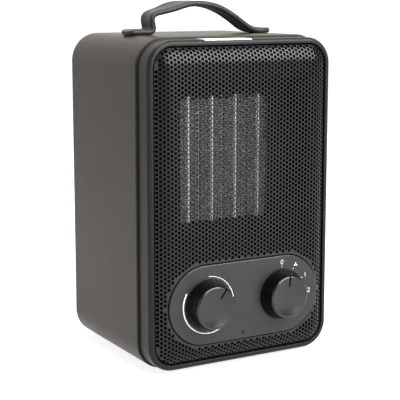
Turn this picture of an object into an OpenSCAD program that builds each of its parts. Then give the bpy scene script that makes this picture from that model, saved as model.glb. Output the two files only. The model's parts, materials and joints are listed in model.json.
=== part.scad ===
// Ceramic fan heater with two front knobs, a strap handle and a tip-over switch.
// Axes: X right (seen from the front), Y towards the rear, Z up. Millimetres.
// Origin: centre of the footprint, on the surface that the feet stand on.

/* [Body] */
// Width of the outer casing
casing_w = 155.4; // [150:1:165]
// Height of the outer casing
casing_h = 238.4; // [232:1:250]
// Corner radius of the outer casing
casing_r = 21.2; // [20:0.2:24]
// Depth of the casing sleeve behind the bezel groove
casing_d = 109.3; // [105:1:120]
// Casing wall thickness
wall = 2.4; // [2:0.2:3]
// Height of the rubber feet under the casing
foot_h = 2; // [1.5:0.5:4]

/* [Bezel and grille] */
// Depth of the bezel from its rim to the groove
bezel_d = 16.3; // [15:0.5:18]
// Step from the casing's side down to the bezel's side
bezel_step = 1.7; // [1:0.1:2]
// Width of the groove between the bezel and the casing
groove_w = 0.5; // [0.4:0.1:1]
// Width of the bezel rim, from its outer side to its lip
rim_w = 4.1; // [3.6:0.1:5]
// How far the flat middle of the grille stands proud of the rim
grille_proud = 4.5; // [3.5:0.5:5]
// Width of the rounded border of the grille
grille_border = 10; // [9:0.5:10]
// Pitch between perforation rows
hole_pitch = 7.9; // [7:0.1:9]
// Hole size across corners
hole_d = 5.8; // [4:0.2:6]

/* [Controls] */
// Width of the control panel
panel_w = 126; // [120:1:128]
// Height of the control panel
panel_h = 58; // [54:1:60]
// Height of the panel centre above the rim's lower edge
panel_z = 46.8; // [42:0.2:49]
// Distance from the middle to each knob axis
knob_x = 31.3; // [28:0.5:34]
// Radius of a knob at its face
knob_r = 15.2; // [14:0.2:16]
// Radius of a knob at its skirt
skirt_r = 18.8; // [17:0.2:19.4]
// How far the knob faces stand in front of the rim
knob_out = 17; // [15:0.5:20]
// Width of a knob's pointer groove
pointer_w = 1.6; // [1:0.1:3]
// Angle of the thermostat pointer, clockwise from the top
thermostat_angle = 32; // [0:1:300]

/* [Heating element] */
// Width of the visible element
core_w = 79.6; // [78:0.2:84]
// Height of the visible element
core_h = 93; // [90:1:100]
// Depth of the element
core_d = 15; // [12:1:18]
// Depth of the element's face behind the rim
core_back = 27; // [24:1:30]
// Number of element tubes
tube_n = 4; // [3:1:5]
// Thickness of an element tube
tube_w = 2.2; // [2:0.1:3]

/* [Fan] */
// Diameter of the impeller
fan_d = 96; // [90:1:98]
// Number of blades
blade_n = 7; // [5:1:9]

/* [Hidden] */

$fn = 64;
gap = 0.3;
fit_gap = 0.05;

// Overall depths, measured back from the rim plane.
cover_t = 2.4;
casing_rear = bezel_d + casing_d;
body_rear = casing_rear + cover_t;
rim_y = knob_out - (knob_out + body_rear) / 2;

// Heights.
casing_z = foot_h + casing_h / 2;
bezel_w = casing_w - 2 * bezel_step;
bezel_h = casing_h - 2 * bezel_step;
bezel_r = casing_r - bezel_step;
rim_bottom = casing_z - bezel_h / 2;
controls_z = rim_bottom + panel_z;
core_z = rim_bottom + 147;
lip_r = bezel_r - rim_w;
rim_round = 2.9;

// Grille outline: one millimetre clear of the lip all round.
grille_gap = 1;
grille_r = lip_r - grille_gap;
grille_w = bezel_w - 2 * (rim_w + grille_gap);
grille_h = bezel_h - 2 * (rim_w + grille_gap);
sheet_t = 0.8;
edge_drop = 6.5;
dome_r = (pow(grille_border, 2) + pow(edge_drop, 2)) / (2 * edge_drop);
flat_w = grille_w - 2 * grille_border;
flat_h = grille_h - 2 * grille_border;
flat_r = grille_r - grille_border;

// Fascia: follows the grille on the inside.
fascia_gap = 0.75;
fascia_t = 2;
fascia_dome_r = dome_r - sheet_t - fascia_gap;
fascia_front = -grille_proud + sheet_t + fascia_gap;
fascia_base = 12;
window_w = 110;
window_h = 118;

// Control panel stands one millimetre proud of the grille.
panel_front = -grille_proud - 1;
panel_t = fascia_front - panel_front;
panel_edge_r = 0.9;

// Screw axes in the corners.
screw_x = casing_w / 2 - 11;
screw_z = casing_h / 2 - 11;
pilot_r = 1.3;
shank_r = 1.25;

// Controls behind the panel.
bracket_front = 3.5;
bracket_t = 1.6;
bush_r = 5;
shaft_r = 3;
shaft_front = -knob_out + 2;
knob_back = panel_front - 0.5;

// Heating element.
tube_pitch = core_w / tube_n;
tube_wall = 0.5;
divider_w = 0.8;
divider_back = 2.5;
fin_w = (tube_pitch - tube_w - divider_w) / 2;
core_front = core_back;
core_rear = core_back + core_d;
core_x0 = -core_w / 2;
tube_extra = 6;

// Fan and motor, on one axis behind the element.
fan_front = 47;
fan_t = 14;
housing_front = 62;
housing_t = 3;
shroud_r = fan_d / 2 + 2;
motor_front = 72;
stator_t = 16;
stator_w = 56;
stator_h = 46;
rotor_r = 11.6;
axle_r = 1.75;

// Tip-over switch on the floor of the casing.
tip_x = 0;
tip_depth = 84;
plunger_r = 3.5;

// ---------------------------------------------------------------- helpers

// Places an upright drawing (x to the right, y up) at a depth behind the rim; it grows to the front.
module facing(depth) {
    translate([0, rim_y + depth, 0]) rotate([90, 0, 0]) children();
}

// Upright slab of a drawing between two depths behind the rim.
module slab(front, rear) {
    facing(rear) linear_extrude(rear - front) children();
}

// Rod along the depth axis.
module rod(x, z, r, front, rear) {
    facing(rear) translate([x, z, 0]) cylinder(r = r, h = rear - front);
}

// Block given by its centre in x and z, its size, and two depths.
module block(x, z, w, h, front, rear) {
    facing(rear) translate([x - w / 2, z - h / 2, 0]) cube([w, h, rear - front]);
}

// Rounded rectangle made of true arcs.
module rounded_rect(w, h, r) {
    square([w - 2 * r, h], center = true);
    if (h > 2 * r) square([w, h - 2 * r], center = true);
    for (sx = [-1, 1], sy = h > 2 * r ? [-1, 1] : [0])
        translate([sx * (w / 2 - r), sy * (h / 2 - r)]) circle(r);
}

// Sweeps a profile round a rounded rectangle; the profile's x counts from the corner's centre outwards.
module swept_frame(w, h, r) {
    cx = w / 2 - r;
    cy = h / 2 - r;
    for (s = [0, 180]) rotate([0, 0, s]) {
        translate([cx, cy, 0]) rotate_extrude(angle = 90) children();
        translate([-cx, cy, 0]) rotate([0, 0, 90]) rotate_extrude(angle = 90) children();
    }
    for (s = [0, 180]) rotate([0, 0, s]) {
        if (cy > 0) translate([cx, cy, 0]) rotate([90, 0, 0]) linear_extrude(2 * cy) children();
        if (cx > 0) translate([0, cy, 0]) rotate([0, 0, 90]) translate([0, cx, 0])
            rotate([90, 0, 0]) linear_extrude(2 * cx) children();
    }
}

// Rectangle from x0 to x1 and y0 to y1.
module span(x0, x1, y0, y1) {
    translate([x0, y0]) square([x1 - x0, y1 - y0]);
}

// Quarter of material to take off an outer corner at (x, y), pointing to +x +y.
module round_off(x, y, r, sy = 1) {
    translate([x, y]) mirror([0, sy < 0 ? 1 : 0]) difference() {
        translate([-r, -r]) square(r + 1);
        translate([-r, -r]) circle(r);
        translate([-2 * r, -2 * r]) square([r, 3 * r + 1]);
        translate([-2 * r, -2 * r]) square([3 * r + 1, r]);
    }
}

// The four corner screw positions, as rods.
module corner_rods(r, front, rear) {
    for (sx = [-1, 1], sz = [-1, 1]) rod(sx * screw_x, casing_z + sz * screw_z, r, front, rear);
}

// Pan-head screw along the depth axis, head at the rear.
module screw(x, z, head_front, length, r = shank_r, head_r = 2.8, head_t = 1.6) {
    rod(x, z, r, head_front - length, head_front);
    rod(x, z, head_r, head_front, head_front + head_t);
}

// Rings of points round a path; `side` is a direction that the path never runs along.
function unit(v) = v / norm(v);
function ring(path, i, r, sides, side) =
    let (
        ahead = unit(path[min(i + 1, len(path) - 1)] - path[max(i - 1, 0)]),
        u = unit(cross(ahead, side)),
        v = cross(ahead, u)
    )
    [for (k = [0 : sides - 1]) path[i] + r * (cos(360 * k / sides) * u + sin(360 * k / sides) * v)];

// Round wire swept along a path.
module wire(path, r, side = [0, 0, 1], sides = 8) {
    n = len(path);
    last = (n - 1) * sides;
    wall_faces = [
        for (i = [0 : n - 2], k = [0 : sides - 1], upper = [0, 1])
            let (a = i * sides + k, b = i * sides + (k + 1) % sides)
            upper == 0 ? [a, b, b + sides] : [a, b + sides, a + sides]
    ];
    caps = [
        for (k = [1 : sides - 2], end = [0, 1])
            end == 0 ? [0, k + 1, k] : [last, last + k, last + k + 1]
    ];
    polyhedron([for (i = [0 : n - 1]) each ring(path, i, r, sides, side)], concat(wall_faces, caps));
}

// Smooth path through hand-set points, as joined quadratic arcs between their midpoints.
function route(p, n = 4) = concat(
    [p[0]],
    [for (i = [1 : len(p) - 2], k = [0 : n])
        let (
            t = k / n,
            from = i == 1 ? (p[0] + p[1]) / 2 : (p[i - 1] + p[i]) / 2,
            to = (p[i] + p[i + 1]) / 2
        )
        if (k < n || i == len(p) - 2) pow(1 - t, 2) * from + 2 * t * (1 - t) * p[i] + t * t * to],
    [p[len(p) - 1]]
);

// Turns a depth behind the rim into a Y position.
function at(depth) = rim_y + depth;

// ---------------------------------------------------------------- casing and front

module casing_profile() {
    r = casing_r;
    rear = 0;
    front = casing_d;
    difference() {
        union() {
            span(r - wall, r, rear, front);
            span(r - 7, r, rear, 3);
        }
        round_off(r, rear, 2.8, -1);
        round_off(r, front, 0.7);
    }
}

module casing() {
    color("#2b2a29") difference() {
        union() {
            facing(casing_rear) translate([0, casing_z, 0])
                swept_frame(casing_w, casing_h, casing_r) casing_profile();
            intersection() {
                union() {
                    corner_lugs(30, 34);
                    corner_lugs(casing_rear - 22, casing_rear - 2);
                }
                slab(0, casing_rear) translate([0, casing_z])
                    rounded_rect(casing_w - wall, casing_h - wall, casing_r - wall / 2);
            }
            for (sx = [-1, 1], z = housing_lug_z())
                block(sx * 72.2, z, 8.4, 12, housing_front + housing_t, 84);
        }
        corner_rods(1.7, 29, 35);
        corner_rods(pilot_r, casing_rear - 23, casing_rear + 1);
        for (sx = [-1, 1], z = housing_lug_z()) rod(sx * housing_screw_x(), z, pilot_r, 60, 80);
        for (x = handle_screw_x()) translate([x, at(handle_depth), casing_z + casing_h / 2 - 5])
            cylinder(r = 2.2, h = 10);
        for (p = foot_places()) translate([p[0], at(p[1]), -1]) cylinder(r = 3, h = 8);
        translate([tip_x, at(tip_depth), -1]) cylinder(r = plunger_r + gap, h = 8);
    }
}

function housing_lug_z() = [core_z - 62, core_z + 62];
function housing_screw_x() = 72;

module corner_lugs(front, rear) {
    for (sx = [-1, 1], sz = [-1, 1]) {
        x = sx * screw_x;
        z = casing_z + sz * screw_z;
        rod(x, z, 5, front, rear);
        block(x + sx * 5, z, 10, 10, front, rear);
        block(x, z + sz * 5, 10, 10, front, rear);
        block(x + sx * 5, z + sz * 5, 10, 10, front, rear);
    }
}

module bezel_profile() {
    r = bezel_r;
    groove = bezel_d - groove_w;
    difference() {
        union() {
            span(r - wall, r, -groove, 0);
            span(lip_r, r, -5, 0);
            span(r - 2.9, r - 0.9, -30, -groove);
        }
        round_off(r, 0, rim_round);
        round_off_inner(lip_r, 0, 0.5);
    }
}

// Takes the sharp inner edge off the lip.
module round_off_inner(x, y, r) {
    translate([x, y]) mirror([1, 0]) round_off(0, 0, r);
}

module front_bezel() {
    color("#1d1d1e") difference() {
        union() {
            facing(0) translate([0, casing_z, 0]) swept_frame(bezel_w, bezel_h, bezel_r) bezel_profile();
            corner_rods(4.2, fascia_base, 30);
        }
        corner_rods(pilot_r, 14, 31);
    }
}

module grille_profile() {
    r = grille_r;
    c = r - grille_border;
    edge = grille_proud - edge_drop;
    top = grille_proud - dome_r;
    intersection() {
        translate([c, top]) difference() {
            circle(dome_r, $fn = 96);
            circle(dome_r - sheet_t, $fn = 96);
        }
        span(c, r, edge, grille_proud);
    }
    span(r - sheet_t, r, edge - 6, edge + 0.2);
}

module grille_holes() {
    column = hole_pitch * sqrt(3) / 2;
    columns = floor(flat_w / 2 / column);
    rows = floor(flat_h / 2 / hole_pitch);
    for (i = [-columns : columns], j = [-rows : rows]) {
        x = i * column;
        z = casing_z + (j + (i % 2 == 0 ? 0 : 0.5)) * hole_pitch;
        inside = abs(z - casing_z) < flat_h / 2 - hole_d / 2;
        clear = z > controls_z + panel_h / 2 + 4 || z < controls_z - panel_h / 2 - 4;
        if (inside && clear) facing(0) translate([x, z, 0]) cylinder(d = hole_d, h = 10, $fn = 6);
    }
}

module grille() {
    color("#151516") difference() {
        union() {
            facing(0) translate([0, casing_z, 0])
                swept_frame(grille_w, grille_h, grille_r) grille_profile();
            slab(-grille_proud, -grille_proud + sheet_t) translate([0, casing_z])
                rounded_rect(flat_w, flat_h, flat_r);
            for (sx = [-1, 1], z = tab_z()) block(sx * (grille_w - sheet_t) / 2, z, sheet_t, 8, 6, 17);
        }
        grille_holes();
        slab(-20, 5) translate([0, controls_z])
            rounded_rect(panel_w + 1.6, panel_h + 1.6, panel_h / 2 + 0.8);
    }
}

function tab_z() = [casing_z - 70, casing_z + 10, casing_z + 80];

module fascia_profile() {
    r = grille_r;
    c = r - grille_border;
    centre = -fascia_front - fascia_dome_r;
    outer = r - sheet_t - 0.7;
    wall_top = centre + sqrt(pow(fascia_dome_r, 2) - pow(outer - c, 2));
    intersection() {
        translate([c, centre]) difference() {
            circle(fascia_dome_r, $fn = 96);
            circle(fascia_dome_r - fascia_t, $fn = 96);
        }
        span(c, outer, -10, 10);
    }
    span(outer - fascia_t, outer, -fascia_base, wall_top - 0.3);
    span(c + 1, r + 1.9, -fascia_base, -fascia_base + 2);
}

module fascia() {
    color("#101010") difference() {
        union() {
            facing(0) translate([0, casing_z, 0])
                swept_frame(grille_w, grille_h, grille_r) fascia_profile();
            slab(fascia_front, fascia_front + fascia_t) translate([0, casing_z])
                rounded_rect(flat_w, flat_h, flat_r);
        }
        slab(-20, 5) translate([0, core_z]) rounded_rect(window_w, window_h, 4);
        for (sx = [-1, 1]) rod(sx * knob_x, controls_z, 10, -10, 5);
        for (p = panel_bosses()) rod(p[0], p[1], 3.8, -10, 5);
        rod(lens_x, lens_z(), 2.4, -10, 5);
        for (sx = [-1, 1], z = tab_z()) block(sx * (grille_w - sheet_t) / 2, z, sheet_t + 0.6, 8.6, 5, 16);
    }
}

lens_x = -2.4;
function lens_z() = rim_bottom + 22.6;
function panel_bosses() = [for (sx = [-1, 1], sz = [-1, 1]) [sx * 52, controls_z + sz * 15]];

module panel_edge_profile() {
    r = panel_h / 2;
    difference() {
        span(r - 4, r, 0, panel_t);
        round_off(r, panel_t, panel_edge_r);
    }
}

module control_panel() {
    color("#232425") difference() {
        union() {
            facing(fascia_front) translate([0, controls_z, 0])
                swept_frame(panel_w, panel_h, panel_h / 2) panel_edge_profile();
            slab(panel_front, fascia_front) translate([0, controls_z])
                rounded_rect(panel_w - 6, panel_h - 6, panel_h / 2 - 3);
            for (p = panel_bosses()) rod(p[0], p[1], 3.4, fascia_front - 0.5, bracket_front);
        }
        for (sx = [-1, 1]) rod(sx * knob_x, controls_z, 5.6, -12, 5);
        for (p = panel_bosses()) rod(p[0], p[1], pilot_r, -3.6, bracket_front + 1);
        rod(lens_x, lens_z(), 1.35, -12, 5);
    }
}

// Knob with a tapered skirt, a hollow back and a D-shaped hub; its pointer groove is at the given angle.
module knob(x, angle) {
    knob_h = knob_back + knob_out;
    facing(knob_back) translate([x, controls_z, 0]) difference() {
        union() {
            difference() {
                rotate_extrude($fn = 96) polygon([
                    [0, 0], [skirt_r, 0], [skirt_r, 1.2], [knob_r + 0.9, knob_h - 2.2],
                    [knob_r + 0.1, knob_h - 0.6], [knob_r - 0.9, knob_h], [0, knob_h]
                ]);
                translate([0, 0, -1]) cylinder(r = knob_r - 2.2, h = knob_h - 1.8);
            }
            cylinder(r = 5.2, h = knob_h - 2);
        }
        d_shaft(shaft_r + fit_gap, -1, knob_h - 2, angle);
        rotate([0, 0, -angle]) translate([-pointer_w / 2, 7, knob_h - 1.1]) cube([pointer_w, 12, 3]);
    }
}

// Shaft with a flat, along the local z axis.
module d_shaft(r, z0, z1, angle) {
    rotate([0, 0, -angle]) intersection() {
        translate([0, 0, z0]) cylinder(r = r, h = z1 - z0);
        translate([-r - 1, -r - 1, z0]) cube([2 * r + 2, 2 * r, z1 - z0]);
    }
}

module thermostat_knob() {
    color("#1b1b1c") knob(-knob_x, thermostat_angle);
}

module selector_knob() {
    color("#1b1b1c") knob(knob_x, 0);
}

module indicator_lens() {
    color("#8f2a20") {
        rod(lens_x, lens_z(), 1.3, panel_front, -2.4);
        rod(lens_x, lens_z(), 2.1, fascia_front, -1.2);
    }
}

module indicator_lamp() {
    color("#d9d4c7") {
        rod(lens_x, lens_z(), 2, -1, 9);
        rod(lens_x, lens_z(), 2.6, 9, 12);
    }
}

// ---------------------------------------------------------------- handle, label, feet, rear

strap_t = 3.6;
strap_w = 18;
handle_depth = 62;
casing_top = foot_h + casing_h;
corner_x = casing_w / 2 - casing_r;
corner_z = casing_top - casing_r;
wrap_r = casing_r + strap_t / 2 + 0.05;
base_z = casing_top + strap_t / 2;
apex_z = base_z + 21;
fold_r = 3;

function bezier(a, b, c, d, t) =
    pow(1 - t, 3) * a + 3 * t * pow(1 - t, 2) * b + 3 * t * t * (1 - t) * c + t * t * t * d;
function curve(a, b, c, d, n) = [for (i = [0 : n - 1]) bezier(a, b, c, d, i / n)];

function arc(cx, cz, r, from, to, n) =
    [for (i = [0 : n]) let (a = from + (to - from) * i / n) [cx + r * cos(a), cz + r * sin(a)]];

// Centre line: the left tab wraps the casing's corner, folds upright, crowns, falls to the right tab.
function strap_line() = concat(
    arc(-corner_x, corner_z, wrap_r, 104.5, 90, 6),
    arc(-45.9, base_z + fold_r, fold_r, -90, 0, 6),
    curve([-42.9, base_z + 3.4], [-43.4, base_z + 7.5], [-46.6, base_z + 12.4], [-37.5, base_z + 14.3], 9),
    curve([-37.5, base_z + 14.3], [-29, base_z + 16.2], [-21, apex_z - 0.2], [-8, apex_z], 8),
    curve([-8, apex_z], [9, apex_z + 0.3], [19, base_z + 16.2], [34, base_z + 5.7], 9),
    curve([34, base_z + 5.7], [39, base_z + 2.2], [43, base_z], [50, base_z], 6),
    [[50, base_z]],
    arc(corner_x, corner_z, wrap_r, 90, 84.5, 4)
);

// The same line moved sideways, to either face of the band.
function normal_at(line, i) =
    let (a = line[max(i - 1, 0)], b = line[min(i + 1, len(line) - 1)], d = (b - a) / norm(b - a))
    [-d[1], d[0]];
function beside(line, offset) = [for (i = [0 : len(line) - 1]) line[i] + offset * normal_at(line, i)];
function reversed(list) = [for (i = [len(list) - 1 : -1 : 0]) list[i]];

function handle_screw_x() = [-52, 52];

module handle_strap() {
    line = strap_line();
    color("#141414") difference() {
        facing(handle_depth + strap_w / 2) linear_extrude(strap_w)
            polygon(concat(beside(line, strap_t / 2), reversed(beside(line, -strap_t / 2))));
        for (x = handle_screw_x()) translate([x, at(handle_depth), casing_top - 1])
            cylinder(r = pilot_r, h = 3.4);
    }
}

module handle_plates() {
    color("#9a9c9e") for (x = handle_screw_x()) difference() {
        translate([x - 4.4, at(handle_depth) - 9, casing_top - wall - 1.5]) cube([8.8, 18, 1.5]);
        translate([x, at(handle_depth), casing_top - 6]) cylinder(r = 1.6, h = 5);
    }
}

module handle_screws() {
    color("#b9bbbd") for (x = handle_screw_x()) translate([x, at(handle_depth), casing_top - wall - 1.5]) {
        translate([0, 0, -1.6]) cylinder(r = 2.8, h = 1.6);
        cylinder(r = shank_r, h = wall + 1.5 + 2.2);
    }
}

label_w = 38.6;
label_x0 = -30.9;
label_t = 0.15;

// Blank strip: flat on top of the bezel, then bent down over its front edge.
module top_label() {
    top = rim_bottom + bezel_h;
    rear = at(bezel_d - 2);
    outer = arc(at(rim_round), top - rim_round, rim_round + label_t, 90, 132, 6);
    inner = arc(at(rim_round), top - rim_round, rim_round + 0.01, 132, 90, 6);
    color("#e8e8e6") translate([label_x0, 0, 0]) rotate([90, 0, 90]) linear_extrude(label_w)
        polygon(concat([[rear, top + label_t]], outer, inner, [[rear, top + 0.01]]));
}

function foot_places() = [for (sx = [-1, 1], d = [38, casing_rear - 14]) [sx * 50, d]];

module feet() {
    color("#0f0f0f") for (p = foot_places()) translate([p[0], at(p[1]), 0]) {
        cylinder(r1 = 7, r2 = 7.6, h = foot_h);
        cylinder(r = 2.8, h = foot_h + wall);
        translate([0, 0, foot_h + wall]) cylinder(r = 3.6, h = 1.4);
    }
}

slot_pitch = 7.2;
slot_l = 96;
slot_w = 3.6;
gland_x = 0;
gland_z = 30;
gland_r = 8;

module slot(x, z, l, w) {
    translate([x, z]) square([l - w, w], center = true);
    for (s = [-1, 1]) translate([x + s * (l - w) / 2, z]) circle(d = w);
}

module rear_cover() {
    color("#1d1d1e") difference() {
        union() {
            facing(body_rear) translate([0, casing_z, 0])
                swept_frame(casing_w - 6.4, casing_h - 6.4, casing_r - 3.2) difference() {
                    span(4, casing_r - 3.2, 0, cover_t);
                    round_off(casing_r - 3.2, 0, 1.2, -1);
                }
            slab(casing_rear, body_rear) translate([0, casing_z])
                rounded_rect(casing_w - 30, casing_h - 30, 6);
            facing(casing_rear) translate([0, casing_z, 0])
                swept_frame(casing_w - 15, casing_h - 15, casing_r - 7.5)
                    span(casing_r - 9.7, casing_r - 7.5, -0.5, 4);
        }
        for (i = [-6 : 6]) slab(casing_rear - 1, body_rear + 1)
            slot(0, core_z + i * slot_pitch, slot_l, slot_w);
        for (i = [-2 : 2]) slab(casing_rear - 1, body_rear + 1) slot(0, 66 + i * slot_pitch, 60, slot_w);
        corner_rods(14, casing_rear - 6, casing_rear);
        corner_rods(1.6, casing_rear - 5, body_rear + 1);
        corner_rods(3.2, body_rear - 1.4, body_rear + 1);
        rod(gland_x, gland_z, gland_r, casing_rear - 1, body_rear + 1);
    }
}

module rear_cover_screws() {
    color("#8d8f91") for (sx = [-1, 1], sz = [-1, 1])
        screw(sx * screw_x, casing_z + sz * screw_z, body_rear - 1.4, 14, head_r = 2.9, head_t = 1.2);
}

module bezel_screws() {
    color("#8d8f91") for (sx = [-1, 1], sz = [-1, 1])
        screw(sx * screw_x, casing_z + sz * screw_z, 34, 16);
}

module panel_screws() {
    color("#8d8f91") for (p = panel_bosses()) screw(p[0], p[1], bracket_front + bracket_t, 7);
}

// Bushing that the mains lead passes through; grooved to sit in the rear cover.
module cord_gland() {
    color("#0e0e0e") difference() {
        union() {
            rod(gland_x, gland_z, gland_r - fit_gap, casing_rear, body_rear);
            rod(gland_x, gland_z, gland_r + 2, casing_rear - 3, casing_rear);
            rod(gland_x, gland_z, 6.4, casing_rear - 10, casing_rear - 3);
        }
        rod(gland_x, gland_z, 3.6, casing_rear - 11, body_rear + 1);
    }
}

// ---------------------------------------------------------------- heating element

duct_w = window_w + 4;
duct_h = window_h + 4;
duct_front = fascia_front + fascia_t;
duct_rear = core_front;

module outlet_duct() {
    color("#0c0c0c") {
        slab(duct_front, duct_rear) translate([0, core_z]) difference() {
            rounded_rect(duct_w, duct_h, 6);
            rounded_rect(window_w, window_h, 4);
        }
        slab(duct_rear - 2, duct_rear) translate([0, core_z]) difference() {
            square([window_w + 1, window_h + 1], center = true);
            square([core_w - 4, core_h], center = true);
        }
    }
}

// Glass-filled plastic end holders; the tubes plug into them.
holder_h = 10;
module element_holders() {
    color("#17181a") for (s = [-1, 1]) difference() {
        block(0, core_z + s * (core_h / 2 + holder_h / 2), core_w + 8, holder_h, core_front, core_rear + 2);
        for (i = [0 : tube_n - 1]) block(
            core_x0 + (i + 0.5) * tube_pitch, core_z + s * (core_h / 2 + tube_extra / 2 - 0.5),
            tube_w + 0.1, tube_extra + 1, core_front - 1, core_rear - 1
        );
        if (s < 0) for (i = [0 : tube_n - 1]) block(
            core_x0 + (i + 0.5) * tube_pitch, core_z - core_h / 2 - holder_h / 2, 1.2, holder_h + 2, 32, 38.4
        );
    }
}

module element_tubes() {
    color("#c9ccd0") for (i = [0 : tube_n - 1]) difference() {
        block(core_x0 + (i + 0.5) * tube_pitch, core_z, tube_w, core_h + 2 * tube_extra,
              core_front, core_rear - 1);
        block(core_x0 + (i + 0.5) * tube_pitch, core_z, tube_w - 2 * tube_wall, core_h + 3 * tube_extra,
              core_front + tube_wall, core_rear - 1 - tube_wall);
    }
}

// Thin ceramic plates held in the tubes.
stone_n = 4;
module ceramic_stones() {
    stone_h = core_h / stone_n - 1;
    color("#4a3f38") for (i = [0 : tube_n - 1], k = [0 : stone_n - 1])
        block(core_x0 + (i + 0.5) * tube_pitch, core_z + (k - (stone_n - 1) / 2) * core_h / stone_n,
              tube_w - 2 * tube_wall - 0.2, stone_h, core_front + 1, core_rear - 2);
}

// Corrugated strip: a zigzag between a tube and a divider, measured across at half its own width.
fold_pitch = 4;
fin_half = 0.7;
module fin_strip(x0, x1) {
    folds = floor(core_h / fold_pitch);
    z0 = core_z - folds * fold_pitch / 2;
    side = function (i) i % 2 == 0 ? x0 + fin_half : x1 - fin_half;
    left = [for (i = [0 : 2 * folds]) [side(i) - fin_half, z0 + i * fold_pitch / 2]];
    right = [for (i = [2 * folds : -1 : 0]) [side(i) + fin_half, z0 + i * fold_pitch / 2]];
    slab(core_front + 0.4, core_rear - 1.4) polygon(concat(left, right));
}

module element_fins() {
    color("#9ea2a6") for (i = [0 : tube_n - 1]) {
        x = core_x0 + (i + 0.5) * tube_pitch;
        fin_strip(x - tube_w / 2 - fin_w + 0.02, x - tube_w / 2 - 0.02);
        fin_strip(x + tube_w / 2 + 0.02, x + tube_w / 2 + fin_w - 0.02);
    }
}

module element_dividers() {
    color("#b4b7ba") {
        for (i = [1 : tube_n - 1])
            block(core_x0 + i * tube_pitch, core_z, divider_w, core_h,
                  core_front + divider_back, core_rear - 1.2);
        for (s = [-1, 1]) block(s * (core_w / 2 - divider_w / 4), core_z, divider_w / 2, core_h,
                                core_front + 0.2, core_rear - 1.2);
    }
}

module element_terminals() {
    z = core_z - core_h / 2;
    color("#d6c27a") for (i = [0 : tube_n - 1])
        block(core_x0 + (i + 0.5) * tube_pitch, z - holder_h / 2 - 3.5, 0.8, holder_h + 7, 32.3, 38);
}

// Sheet-metal shelf on the upper holder; the two thermal protectors sit on it.
shelf_z = core_z + core_h / 2 + holder_h;
shelf_depth = core_front + 8.5;
module fuse_bracket() {
    color("#a5a8ab") difference() {
        union() {
            block(0, shelf_z + 0.5, 60, 1, core_front + 0.4, core_rear + 2);
            block(0, shelf_z + 4, 60, 8, core_rear + 1, core_rear + 2);
        }
        for (s = [-1, 1]) rod(s * 22, shelf_z + 5, 1.6, core_rear, core_rear + 3);
    }
}

module thermal_cutout() {
    color("#2f3133") translate([-14, at(shelf_depth), shelf_z + 1]) {
        cylinder(r = 6.5, h = 5);
        cylinder(r = 5, h = 7);
    }
    color("#c8b26a") for (s = [-1, 1])
        block(-14 + s * 3.4, shelf_z + 11, 2.4, 8, shelf_depth - 0.4, shelf_depth + 0.4);
}

module thermal_fuse() {
    color("#d8d3c3") translate([9, at(shelf_depth), shelf_z + 3]) rotate([0, 90, 0]) cylinder(r = 2, h = 12);
    color("#c8b26a") {
        translate([21, at(shelf_depth), shelf_z + 3]) rotate([0, 90, 0]) cylinder(r = 0.5, h = 6);
        translate([3, at(shelf_depth), shelf_z + 3]) rotate([0, 90, 0]) cylinder(r = 0.5, h = 6);
    }
}

// ---------------------------------------------------------------- fan and motor

module fan_housing() {
    z = core_z;
    rear = housing_front + housing_t;
    spoke_rear = motor_front - 2;
    spoke_t = 6;
    color("#161616") difference() {
        union() {
            difference() {
                union() {
                    slab(housing_front, rear) translate([0, z]) rounded_rect(149, 146, 6);
                    rod(0, z, shroud_r + 2, core_rear + 2, rear);
                }
                rod(0, z, shroud_r, core_rear, rear + 1);
            }
            for (a = [45, 135]) facing(spoke_rear) translate([0, z, 0]) rotate([0, 0, a])
                translate([-shroud_r - 1, -3, 1]) cube([2 * shroud_r + 2, 6, spoke_t]);
            rod(0, z, 24, housing_front, spoke_rear);
            for (s = [-1, 1]) rod(s * 19, z, 4, spoke_rear - 1, motor_front);
        }
        rod(0, z, 6, 50, 80);
        for (s = [-1, 1]) rod(s * 19, z, pilot_r, 64, 80);
        for (sx = [-1, 1], lz = housing_lug_z()) rod(sx * housing_screw_x(), lz, 1.6, 50, 80);
    }
}

module fan_housing_screws() {
    color("#8d8f91") for (sx = [-1, 1], z = housing_lug_z()) {
        rod(sx * housing_screw_x(), z, shank_r, housing_front, housing_front + 14);
        rod(sx * housing_screw_x(), z, 2.6, housing_front - 1.6, housing_front);
    }
}

module fan_impeller() {
    hub_r = 17;
    color("#3a3d40") facing(fan_front + fan_t) translate([0, core_z, 0]) difference() {
        union() {
            difference() {
                cylinder(r = hub_r, h = fan_t);
                translate([0, 0, -1]) cylinder(r = hub_r - 2, h = fan_t - 1);
            }
            cylinder(r = 4, h = fan_t);
            for (i = [0 : blade_n - 1]) intersection() {
                rotate([0, 0, i * 360 / blade_n]) translate([hub_r - 1, 0, fan_t / 2]) rotate([38, 0, 0])
                    translate([0, -18, -0.8]) cube([fan_d / 2, 36, 1.6]);
                difference() {
                    cylinder(d = fan_d, h = fan_t);
                    translate([0, 0, -1]) cylinder(r = hub_r - 1, h = fan_t + 2);
                }
            }
        }
        translate([0, 0, -1]) cylinder(r = axle_r + fit_gap, h = fan_t - 2);
    }
}

module motor_shaft() {
    color("#c4c7ca") rod(0, core_z, axle_r, fan_front + 3, motor_front + 34);
}

rotor_t = stator_t;
stator_front = motor_front + 8;
module motor_rotor() {
    color("#6d7073") difference() {
        rod(0, core_z, rotor_r, stator_front, stator_front + rotor_t);
        rod(0, core_z, axle_r + fit_gap, stator_front - 1, stator_front + rotor_t + 1);
    }
}

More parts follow.
